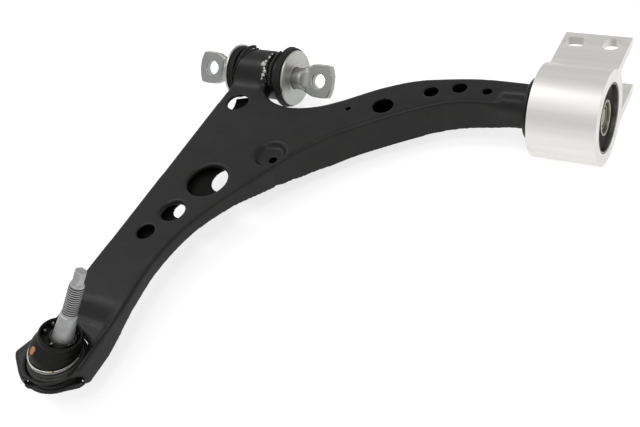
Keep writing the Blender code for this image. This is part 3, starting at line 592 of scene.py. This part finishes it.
def add_saddle_weld(mats):
    """The weld along the saddle's right edge, with ripples."""
    bm = bmesh.new()
    rings = []
    start, end = WELD_ARC
    count = 120
    for k in range(count + 1):
        out = around_tube(start + (end - start) * k / count)
        ripple = 0.25 * math.sin(k * 0.9) + 0.35 * noise.noise(Vector((k * 0.13, 1.7, 0)))
        fade = 0.4 if k in (0, count) else 1.0
        ring = []
        for step in range(WELD_SIDES):
            turn = math.pi * step / (WELD_SIDES - 1)
            width = (1.75 + ripple * 0.5) * math.cos(turn)
            height = (1.6 + ripple) * math.sin(turn)
            point = Vector((SADDLE_EDGE_X + 2.3 + width * fade, 0, 0))
            ring.append(bm.verts.new(point + out * (TUBE_OUTER_R + 0.35 + height * fade)))
        rings.append(ring)
    for low, high in zip(rings[:-1], rings[1:]):
        for k in range(WELD_SIDES):
            nxt = (k + 1) % WELD_SIDES
            bm.faces.new([low[k], low[nxt], high[nxt], high[k]])
    bm.faces.new(rings[0])
    bm.faces.new(list(reversed(rings[-1])))
    add_piece("saddle_weld", bm, mats["paint"], "arm", ["tube_weld_bead"], 60)


def add_spatter(mats):
    """Bright drops beside the weld: large ones listed, and small random ones."""
    rng = random.Random(7)
    bm = bmesh.new()
    for degrees, x, size in LARGE_DROPS:
        out = around_tube(degrees)
        centre = Vector((x, 0, 0)) + out * (TUBE_OUTER_R + 2.9)
        made = bmesh.ops.create_icosphere(bm, subdivisions=3, radius=size)["verts"]
        for vert in made:
            bump = 1.0 + 0.35 * noise.noise(vert.co * 1.1 + Vector((degrees, 0, 0)))
            flat = vert.co - out * vert.co.dot(out) * 0.45
            vert.co = centre + flat * bump
    for _ in range(26):
        out = around_tube(rng.uniform(84, 165))
        centre = Vector((rng.uniform(-325.0, -317.0), 0, 0)) + out * (TUBE_OUTER_R + 2.5)
        made = bmesh.ops.create_icosphere(bm, subdivisions=2, radius=rng.uniform(0.2, 0.45))
        for vert in made["verts"]:
            vert.co += centre
    add_piece("weld_spatter", bm, mats["spatter"], "arm")


def add_saddle_left_edge(mats):
    """The saddle's rolled left edge, which leans over the tube."""
    bm = bmesh.new()
    path = []
    for k in range(25):
        t = k / 24
        path.append(Vector((SADDLE_EDGE_X - 38.5 + 15.0 * t ** 1.6, 0, 0))
                    + around_tube(150 - 84 * t) * (TUBE_OUTER_R + 2.2))
    rod_along(bm, path, 0.7)
    add_piece("saddle_left_edge", bm, mats["paint"], "arm")


def add_welds(mats):
    add_saddle_weld(mats)
    add_spatter(mats)
    add_saddle_left_edge(mats)
    for node in ("seam_weld_front", "seam_weld_rear", "spigot_weld_bead"):
        crisp_copy(node, mats["paint"], "arm", 0.2)


# ---------------------------------------------------------------- ball joint

def boot_centre(t):
    knee = HOUSING_AXIS * BOOT_KNEE
    base = HOUSING_AXIS * BOOT_BASE
    collar = STUD_AXIS * (BOOT_RIM - (1.0 - COLLAR_T) * BOOT_HEIGHT)
    if t < 0.0:
        return base + HOUSING_AXIS * t * BOOT_HEIGHT
    if t < COLLAR_T:
        u = t / COLLAR_T
        return base.lerp(knee, u).lerp(knee.lerp(collar, u), u)
    return STUD_AXIS * (BOOT_RIM - (1.0 - t) * BOOT_HEIGHT)


def boot_place(point):
    """Bends the boot between its base on the housing and its rim on the stud."""
    t = point.z
    turn = max(0.0, min(1.0, (t - BASE_T) / (COLLAR_T - BASE_T)))
    axis = HOUSING_AXIS.lerp(BOOT_RIM_AXIS, turn).normalized()
    free = max(0.0, min(1.0, (math.hypot(point.x, point.y) - MEMBRANE_R) / 4.0))
    centre = BALL_CENTRE + boot_centre(t) + BOOT_RIM_SHIFT * free * turn
    return centre + turn_z_to(axis) @ Vector((point.x, point.y, 0.0))


def smooth_run(points, per_span):
    """A Catmull-Rom curve through (radius, height) points."""
    ends = [2 * Vector(points[0]) - Vector(points[1])]
    tail = [2 * Vector(points[-1]) - Vector(points[-2])]
    pts = ends + [Vector(p) for p in points] + tail
    out = []
    for a, b, c, d in zip(pts, pts[1:], pts[2:], pts[3:]):
        for k in range(per_span):
            t = k / per_span
            out.append(0.5 * (2 * b + (c - a) * t + (2 * a - 5 * b + 4 * c - d) * t ** 2
                              + (3 * b - a - 3 * c + d) * t ** 3))
    out.append(pts[-2])
    return [(p.x, p.y) for p in out]


def boot_wall_profile():
    outside = smooth_run([(19.7, -0.11), (20.0, 0.0), (20.2, 0.12), (19.9, 0.3),
                          (19.0, COLLAR_T)], 6)
    inside = smooth_run([(16.6, COLLAR_T), (17.7, 0.36), (18.8, 0.2), (19.2, -0.08)], 5)
    return outside + inside


def boot_cup_profile():
    outside = smooth_run([(19.0, COLLAR_T), (18.1, 0.62), (17.35, 0.7), (17.0, 0.745),
                          (17.2, 0.79), (17.3, 0.84), (17.1, 0.93), (16.7, 0.985), (16.1, 1.0),
                          (15.4, 0.985), (14.9, 0.92)], 5)
    inside = smooth_run([(14.6, 0.8), (14.2, 0.68), (13.4, 0.63), (MEMBRANE_R + 0.1, 0.62)], 4)
    return outside + inside + [(MEMBRANE_R, 0.52), (14.0, 0.52), (16.5, COLLAR_T)]


def add_boot_lugs(mats):
    """Small moulded pegs inside the boot's rim, in a light metal-like grey that stands in for
    their highlights: painted highlight.
    """
    lugs = bmesh.new()
    for degrees, out, top in BOOT_LUGS:
        angle = math.radians(degrees)
        made = bmesh.ops.create_icosphere(lugs, subdivisions=3, radius=1.0)["verts"]
        for vert in made:
            height = (top + LUG_FOOT) / 2 + vert.co.z * (top - LUG_FOOT) / 2
            vert.co = boot_place(Vector((out * math.cos(angle) + vert.co.x * LUG_R,
                                         out * math.sin(angle) + vert.co.y * LUG_R, height)))
    add_piece("boot_lugs", lugs, mats["lug"], "collar")


def blend_boot(wall, cup):
    """Bakes the wall's and the cup's placement into their meshes."""
    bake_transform(wall)
    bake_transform(cup)


def add_dust_boot(mats):
    """The boot in two pieces: the wall and the cup."""
    wall = add_piece("boot_wall", lathe(boot_wall_profile(), boot_place), mats["boot"],
                     None, ["dust_boot"])
    cup = add_piece("boot_cup", lathe(boot_cup_profile(), boot_place), mats["boot"])
    add_boot_lugs(mats)
    blend_boot(wall, cup)


def add_boot_wire(mats):
    """One spring wire in two turns, which open out on the arm's outer side."""
    turn = turn_z_to(HOUSING_AXIS)
    path = []
    for k in range(241):
        t = WIRE_TURNS * k / 240
        angle = 2 * math.pi * t + math.radians(20)
        open_side = (1.0 - math.cos(angle - math.radians(10))) / 2
        second = max(0.0, min(1.0, (t - 0.96) / 0.12))
        height = BOOT_BASE - 0.85 + second * (1.15 + WIRE_SPREAD * open_side)
        point = Vector((math.cos(angle), math.sin(angle), 0)) * WIRE_RING_R
        point.z = height
        path.append(BALL_CENTRE + turn @ point)
    bm = bmesh.new()
    rod_along(bm, path, WIRE_R)
    add_piece("boot_spring_wire", bm, mats["wire"], "arm",
              ["boot_base_wire_upper", "boot_base_wire_lower"])


def thread_profile():
    """The thread as a row of plain ring grooves."""
    start, turns, pitch, depth = THREAD
    profile = []
    for k in range(turns):
        low = start + k * pitch
        root = THREAD_R - depth
        profile += [(THREAD_R, low), (THREAD_R, low + 0.4 * pitch),
                    (root, low + 0.62 * pitch), (root, low + 0.78 * pitch)]
    return profile


def add_ball_stud(mats):
    place = along(STUD_AXIS, BALL_CENTRE)
    ball = [(math.sqrt(BALL_R ** 2 - h ** 2), h) for h in (-12.2 + 1.3 * k for k in range(19))]
    shank = [(7.2, 12.2), (7.2, 14.4), (7.5, 15.0), (8.7, 16.3), (8.9, 16.8), (8.9, 18.0),
             (8.75, 18.8), (7.0, 41.8), (6.6, 42.9), (5.5, 43.8), (5.5, 44.4), (6.0, 45.1)]
    end = [(5.9, 72.6), (5.2, 74.2), (4.9, 74.6), (0.0, 74.6)]
    profile = [(0.0, -12.2)] + ball + shank + thread_profile() + end
    stud = add_piece("stud_turned", lathe(profile, place, 72, False), mats["stud"],
                     "stud", ["ball_stud"], 30)
    # The faces deep in the thread's grooves get a dark material: painted shade
    stud.data.materials.append(mats["groove"])
    start, turns, pitch, depth = THREAD
    for face in stud.data.polygons:
        out = arm_point(stud.matrix_world @ face.center) - BALL_CENTRE
        height = out.dot(STUD_AXIS)
        radius = (out - STUD_AXIS * height).length
        in_thread = start < height < start + turns * pitch
        if in_thread and radius < THREAD_R - depth * 0.3:
            face.material_index = 1


def add_stud_tip(mats):
    """The hexagonal drive at the stud's end."""
    hexagon = [(0.0, 73.0), (5.1, 73.0), (5.1, 85.4), (4.75, 86.3), (4.0, 86.8), (0.0, 86.8)]
    tip = lathe(hexagon, along(STUD_AXIS, BALL_CENTRE), 6, False)
    obj = add_piece("stud_hex_tip", tip, mats["stud"], "stud", (), 20)
    cut = obj.modifiers.new("edges", "BEVEL")
    cut.width = 0.3 * MM
    cut.segments = 2
    cut.limit_method = "ANGLE"
    cut.angle_limit = math.radians(25)


def add_housing(mats):
    """The housing in the arm's tip, and the closing disc under it."""
    place = along(HOUSING_AXIS, BALL_CENTRE)
    housing = [(17.5, -19.5), (19.0, -18.0), (19.0, -1.5), (24.6, -1.5), (24.6, -0.9),
               (24.0, -0.3), (22.6, 0.3), (22.4, 1.5), (21.6, 2.3), (18.6, 2.9), (18.2, 6.6),
               (17.0, 7.6), (15.0, 7.6), (13.6, 6.4), (16.3, 5.2), (16.3, -14.6),
               (17.6, -14.6), (17.6, -17.6), (16.4, -19.5)]
    add_piece("joint_housing", lathe(rounded(housing, 0.35, 2), place), mats["housing"],
              "arm", ["ball_joint_housing"])
    cover = [(0.0, -17.3), (17.2, -17.3), (17.2, -15.2), (12.0, -15.2), (9.0, -16.0),
             (0.0, -16.0)]
    add_piece("joint_cover", lathe(rounded(cover, 0.5, 3, False), place, SEGMENTS, False),
              mats["housing"], "arm", ["ball_joint_cover"])


def add_ball_joint(mats):
    add_housing(mats)
    crisp_copy("ball_socket_liner", mats["liner"], "arm", 0.15)
    crisp_copy("boot_collar_clip", mats["housing"], "collar", 0.15)
    add_dust_boot(mats)
    add_boot_wire(mats)
    add_ball_stud(mats)
    add_stud_tip(mats)


# ---------------------------------------------------------------- materials

class Look:
    """A Principled material whose colour, roughness and bump come from noise."""

    def __init__(self, name, metallic=0.0, specular=0.5):
        self.mat = bpy.data.materials.new(name)
        self.mat.use_nodes = True
        self.nodes = self.mat.node_tree.nodes
        self.links = self.mat.node_tree.links
        self.shader = self.nodes["Principled BSDF"]
        self.shader.inputs["Metallic"].default_value = metallic
        self.shader.inputs["Specular IOR Level"].default_value = specular
        self.place = self.nodes.new("ShaderNodeTexCoord").outputs["Object"]
        self.normal = None

    def noise(self, scale, detail=3.0, stretch=(1, 1, 1)):
        mapping = self.nodes.new("ShaderNodeMapping")
        mapping.inputs["Scale"].default_value = stretch
        self.links.new(self.place, mapping.inputs["Vector"])
        tex = self.nodes.new("ShaderNodeTexNoise")
        tex.inputs["Scale"].default_value = scale
        tex.inputs["Detail"].default_value = detail
        self.links.new(mapping.outputs[0], tex.inputs["Vector"])
        return tex.outputs["Fac"]

    def ramp(self, value, *stops):
        node = self.nodes.new("ShaderNodeValToRGB")
        elements = node.color_ramp.elements
        while len(elements) < len(stops):
            elements.new(0.5)
        for element, (position, color) in zip(elements, stops):
            element.position = position
            element.color = (*color, 1.0)
        self.links.new(value, node.inputs["Fac"])
        return node.outputs["Color"]

    def mapped(self, value, low, high, from_low=0.3, from_high=0.7):
        node = self.nodes.new("ShaderNodeMapRange")
        node.inputs["From Min"].default_value = from_low
        node.inputs["From Max"].default_value = from_high
        node.inputs["To Min"].default_value = low
        node.inputs["To Max"].default_value = high
        self.links.new(value, node.inputs["Value"])
        return node.outputs["Result"]

    def mix(self, mask, first, second):
        node = self.nodes.new("ShaderNodeMix")
        node.data_type = "RGBA"
        self.links.new(mask, node.inputs["Factor"])
        for socket, value in zip((node.inputs[6], node.inputs[7]), (first, second)):
            if isinstance(value, tuple):
                socket.default_value = (*value, 1.0)
            else:
                self.links.new(value, socket)
        return node.outputs[2]

    def near(self, point, radius, wobble=None, squeeze=(1, 1, 1)):
        """1 inside a soft-edged spot round a point in metres, 0 outside."""
        shift = self.nodes.new("ShaderNodeVectorMath")
        shift.operation = "SUBTRACT"
        shift.inputs[1].default_value = point
        self.links.new(self.place, shift.inputs[0])
        scale = self.nodes.new("ShaderNodeVectorMath")
        scale.operation = "MULTIPLY"
        scale.inputs[1].default_value = squeeze
        self.links.new(shift.outputs[0], scale.inputs[0])
        length = self.nodes.new("ShaderNodeVectorMath")
        length.operation = "LENGTH"
        self.links.new(scale.outputs[0], length.inputs[0])
        distance = length.outputs["Value"]
        if wobble is not None:
            add = self.nodes.new("ShaderNodeMath")
            add.operation = "MULTIPLY_ADD"
            add.inputs[1].default_value = radius * 1.4
            self.links.new(wobble, add.inputs[0])
            self.links.new(distance, add.inputs[2])
            distance = add.outputs[0]
            radius = radius * 1.7
        return self.mapped(distance, 1.0, 0.0, radius * 0.85, radius)

    def bump(self, value, strength, distance):
        node = self.nodes.new("ShaderNodeBump")
        node.inputs["Strength"].default_value = strength
        node.inputs["Distance"].default_value = distance * MM
        self.links.new(value, node.inputs["Height"])
        if self.normal is not None:
            self.links.new(self.normal, node.inputs["Normal"])
        self.normal = node.outputs["Normal"]

    def done(self, color, roughness):
        self.links.new(color, self.shader.inputs["Base Color"])
        self.links.new(roughness, self.shader.inputs["Roughness"])
        if self.normal is not None:
            self.links.new(self.normal, self.shader.inputs["Normal"])
        return self.mat


def make_paint(name="black_ecoat", inside=False):
    """Black electro-coat: satin, slightly uneven, with a fine orange peel.

    Inside the box section the coat is thinner and duller than outside it.
    """
    look = Look(name, specular=0.28)
    color = look.ramp(look.noise(45.0, 4.0), (0.35, (0.0035, 0.0035, 0.0032)),
                      (0.65, (0.0065, 0.0063, 0.0058)))
    specks = look.mapped(look.noise(900.0, 2.0), 0.0, 0.5, 0.69, 0.75)
    color = look.mix(specks, color, (0.045, 0.043, 0.040))
    look.bump(look.noise(420.0, 3.0), 0.2, 0.08)
    look.bump(look.noise(2400.0, 2.0), 0.15, 0.03)
    if inside:
        split = look.nodes.new("ShaderNodeSeparateXYZ")
        look.links.new(look.place, split.inputs[0])
        lip_y = (ARM_ORIGIN + BALL_CENTRE * MM).y
        shine = look.mapped(split.outputs["Y"], 0.28, 0.06, lip_y + 0.002, lip_y + 0.02)
        look.links.new(shine, look.shader.inputs["Specular IOR Level"])
    return look.done(color, look.mapped(look.noise(130.0, 4.0), 0.34, 0.44))


def make_zinc(name="zinc", turned=False, shade=0.78):
    """Bright zinc plating with faint blue, green and pink tints."""
    look = Look(name, metallic=1.0)
    tint = look.noise(38.0, 2.0)
    tints = ((0.3, (0.40, 0.42, 0.41)), (0.5, (0.44, 0.445, 0.425)),
             (0.7, (0.46, 0.43, 0.415)))
    color = look.ramp(tint, *((at, tuple(shade * c for c in rgb)) for at, rgb in tints))
    look.bump(look.noise(1500.0, 3.0), 0.15, 0.04)
    if turned:
        look.bump(look.noise(60.0, 2.0, (40.0, 1.0, 1.0)), 0.12, 0.03)
    return look.done(color, look.mapped(look.noise(160.0, 4.0), 0.32, 0.48))


def make_aluminium():
    """Extruded aluminium: fine die lines run along the extrusion, which is X."""
    look = Look("extruded_aluminium", metallic=1.0)
    lines = look.noise(1.0, 5.0, (6.0, 1100.0, 1100.0))
    broad = look.noise(1.0, 3.0, (4.0, 130.0, 130.0))
    color = look.ramp(broad, (0.3, (0.71, 0.695, 0.675)), (0.7, (0.79, 0.772, 0.75)))
    look.bump(lines, 0.10, 0.02)
    look.bump(look.noise(700.0, 3.0), 0.10, 0.03)
    return look.done(color, look.mapped(lines, 0.40, 0.50))


def make_plain_metal(name, dark, light, rough, grain=900.0):
    look = Look(name, metallic=1.0)
    color = look.ramp(look.noise(90.0, 4.0), (0.3, dark), (0.7, light))
    look.bump(look.noise(grain, 3.0), 0.2, 0.05)
    return look.done(color, look.mapped(look.noise(220.0, 3.0), rough - 0.08, rough + 0.1))


def make_rubber(name="rubber"):
    look = Look(name, specular=0.25)
    color = look.ramp(look.noise(120.0, 4.0), (0.3, (0.007, 0.007, 0.007)),
                      (0.7, (0.013, 0.0125, 0.012)))
    look.bump(look.noise(1800.0, 2.0), 0.3, 0.05)
    return look.done(color, look.mapped(look.noise(200.0, 3.0), 0.5, 0.68))


def make_boot_rubber():
    """Boot rubber with a dab of orange marking paint on its side."""
    look = Look("boot_rubber", specular=0.16)
    color = look.ramp(look.noise(120.0, 4.0), (0.3, (0.005, 0.005, 0.0045)),
                      (0.7, (0.010, 0.010, 0.009)))
    spot = ARM_ORIGIN + (BALL_CENTRE + DAB_PLACE) * MM
    wobble = look.noise(420.0, 3.0)
    mask = look.near(spot, 0.0036, wobble, (1.15, 1.15, 0.65))
    color = look.mix(mask, color, (0.40, 0.19, 0.09))
    look.bump(look.noise(1500.0, 2.0), 0.25, 0.05)
    return look.done(color, look.mapped(look.noise(200.0, 3.0), 0.42, 0.6))


def make_housing():
    look = Look("black_phosphate", metallic=0.35, specular=0.5)
    color = look.ramp(look.noise(150.0, 4.0), (0.3, (0.022, 0.022, 0.021)),
                      (0.7, (0.040, 0.039, 0.036)))
    look.bump(look.noise(1600.0, 3.0), 0.3, 0.05)
    return look.done(color, look.mapped(look.noise(240.0, 3.0), 0.32, 0.5))


def make_stud():
    """Matt zinc on a turned steel stud."""
    look = Look("stud_zinc", metallic=0.85)
    color = look.ramp(look.noise(140.0, 3.0), (0.3, (0.33, 0.335, 0.338)),
                      (0.7, (0.42, 0.42, 0.422)))
    look.bump(look.noise(1300.0, 3.0), 0.2, 0.05)
    return look.done(color, look.mapped(look.noise(260.0, 3.0), 0.42, 0.58))


def make_wire():
    """Spring wire, near black and non-metallic in one patch behind the boot, with one yellow
    inspection mark.
    """
    look = Look("spring_wire", metallic=0.9)
    color = look.ramp(look.noise(90.0, 4.0), (0.3, (0.42, 0.415, 0.39)),
                      (0.7, (0.60, 0.59, 0.55)))
    wobble = look.noise(420.0, 3.0)
    mark = look.near(ARM_ORIGIN + (BALL_CENTRE + WIRE_MARK) * MM, 0.0019, wobble)
    color = look.mix(mark, color, (0.26, 0.19, 0.05))
    # One patch of the wire is coloured near black and has its metallic taken away
    dark_patch = look.near(ARM_ORIGIN + (BALL_CENTRE + WIRE_DARK_PATCH) * MM, 0.012, wobble)
    color = look.mix(dark_patch, color, (0.004, 0.004, 0.004))
    shine = look.nodes.new("ShaderNodeMath")
    shine.operation = "MULTIPLY_ADD"
    shine.inputs[1].default_value = -0.88
    shine.inputs[2].default_value = 0.9
    look.links.new(dark_patch, shine.inputs[0])
    look.links.new(shine.outputs[0], look.shader.inputs["Metallic"])
    look.bump(look.noise(900.0, 3.0), 0.2, 0.05)
    return look.done(color, look.mapped(look.noise(220.0, 3.0), 0.26, 0.44))


def make_liner():
    look = Look("acetal", specular=0.4)
    color = look.ramp(look.noise(200.0, 2.0), (0.3, (0.78, 0.77, 0.72)),
                      (0.7, (0.85, 0.84, 0.79)))
    look.bump(look.noise(2500.0, 2.0), 0.1, 0.03)
    return look.done(color, look.mapped(look.noise(300.0, 2.0), 0.4, 0.55))


def make_materials():
    return {
        "paint": make_paint(),
        "paint_inside": make_paint("thin_ecoat", True),
        "zinc": make_zinc(),
        "zinc_turned": make_zinc("zinc_turned", True, 1.0),
        "aluminium": make_aluminium(),
        "sleeve": make_plain_metal("dull_sleeve", (0.16, 0.15, 0.14), (0.26, 0.25, 0.23), 0.42),
        "core": make_plain_metal("dull_core", (0.30, 0.29, 0.25), (0.48, 0.46, 0.38), 0.45),
        "spatter": make_plain_metal("weld_spatter", (0.34, 0.34, 0.33), (0.52, 0.52, 0.51),
                                    0.42, 1800.0),
        "wire": make_wire(),
        # The boot's rubber pegs get a light, metallic grey here: painted highlight
        "lug": make_plain_metal("lug_painted_highlight", (0.10, 0.10, 0.085), (0.20, 0.20, 0.17), 0.3),
        # Dark colour for the thread's grooves: painted shade
        "groove": make_plain_metal("groove_shade", (0.09, 0.09, 0.092), (0.15, 0.15, 0.153),
                                   0.5),
        "rubber": make_rubber(),
        "boot": make_boot_rubber(),
        "housing": make_housing(),
        "stud": make_stud(),
        "liner": make_liner(),
    }


# ---------------------------------------------------------------- studio

def add_camera():
    """Looks down on the arm from the front right."""
    forward = CAMERA_FORWARD.normalized()
    right = (CAMERA_RIGHT - forward * CAMERA_RIGHT.dot(forward)).normalized()
    up = right.cross(forward)
    data = bpy.data.cameras.new("camera")
    data.sensor_width = SENSOR_WIDTH
    data.lens = LENS
    camera = bpy.data.objects.new("camera", data)
    turn = Matrix((right, up, -forward)).transposed().to_4x4()
    camera.matrix_world = Matrix.Translation(ARM_ORIGIN + CAMERA_PLACE * MM) @ turn
    bpy.context.scene.collection.objects.link(camera)
    bpy.context.scene.camera = camera


def add_area_light(name, place, aim, size, power):
    data = bpy.data.lights.new(name, "AREA")
    data.shape = "RECTANGLE"
    data.size, data.size_y = size
    data.energy = power
    light = bpy.data.objects.new(name, data)
    light.location = place
    light.rotation_mode = "QUATERNION"
    light.rotation_quaternion = (aim - place).to_track_quat("-Z", "Y")
    bpy.context.scene.collection.objects.link(light)


def add_floor():
    look = Look("pale_floor", specular=0.0)
    color = look.ramp(look.noise(6.0, 2.0), (0.3, (0.38, 0.38, 0.38)), (0.7, (0.42, 0.42, 0.42)))
    mat = look.done(color, look.mapped(look.noise(30.0, 2.0), 0.9, 1.0))
    look.shader.inputs["Emission Color"].default_value = (1, 1, 1, 1)
    look.shader.inputs["Emission Strength"].default_value = FLOOR_GLOW
    bm = bmesh.new()
    bmesh.ops.create_grid(bm, x_segments=2, y_segments=2, size=FLOOR_HALF_WIDTH)
    for vert in bm.verts:
        vert.co.z = CAD_BOX[0].z - FLOOR_GAP
    finish_mesh("floor", bm, mat, 30.0)


def add_studio():
    """A pale floor in an evenly bright room, with a strip light and a key light above."""
    bpy.context.scene.view_settings.view_transform = "Standard"
    world = bpy.data.worlds.new("studio")
    world.use_nodes = True
    background = world.node_tree.nodes["Background"]
    background.inputs["Color"].default_value = (1.0, 1.0, 1.0, 1.0)
    background.inputs["Strength"].default_value = ROOM_LIGHT
    bpy.context.scene.world = world
    middle = (CAD_BOX[0] + CAD_BOX[1]) / 2
    add_area_light("strip", middle + Vector((-0.75, 0.05, 1.35)), middle, (0.35, 1.1), 5.5)
    add_area_light("key", middle + Vector((0.5, -0.6, 1.5)), middle, (0.35, 0.35), 4.5)
    add_floor()


def build():
    add_camera()
    mats = make_materials()
    add_pressed_arm(mats)
    add_front_bushing(mats)
    add_rear_bushing(mats)
    add_welds(mats)
    add_ball_joint(mats)
    add_studio()


build()
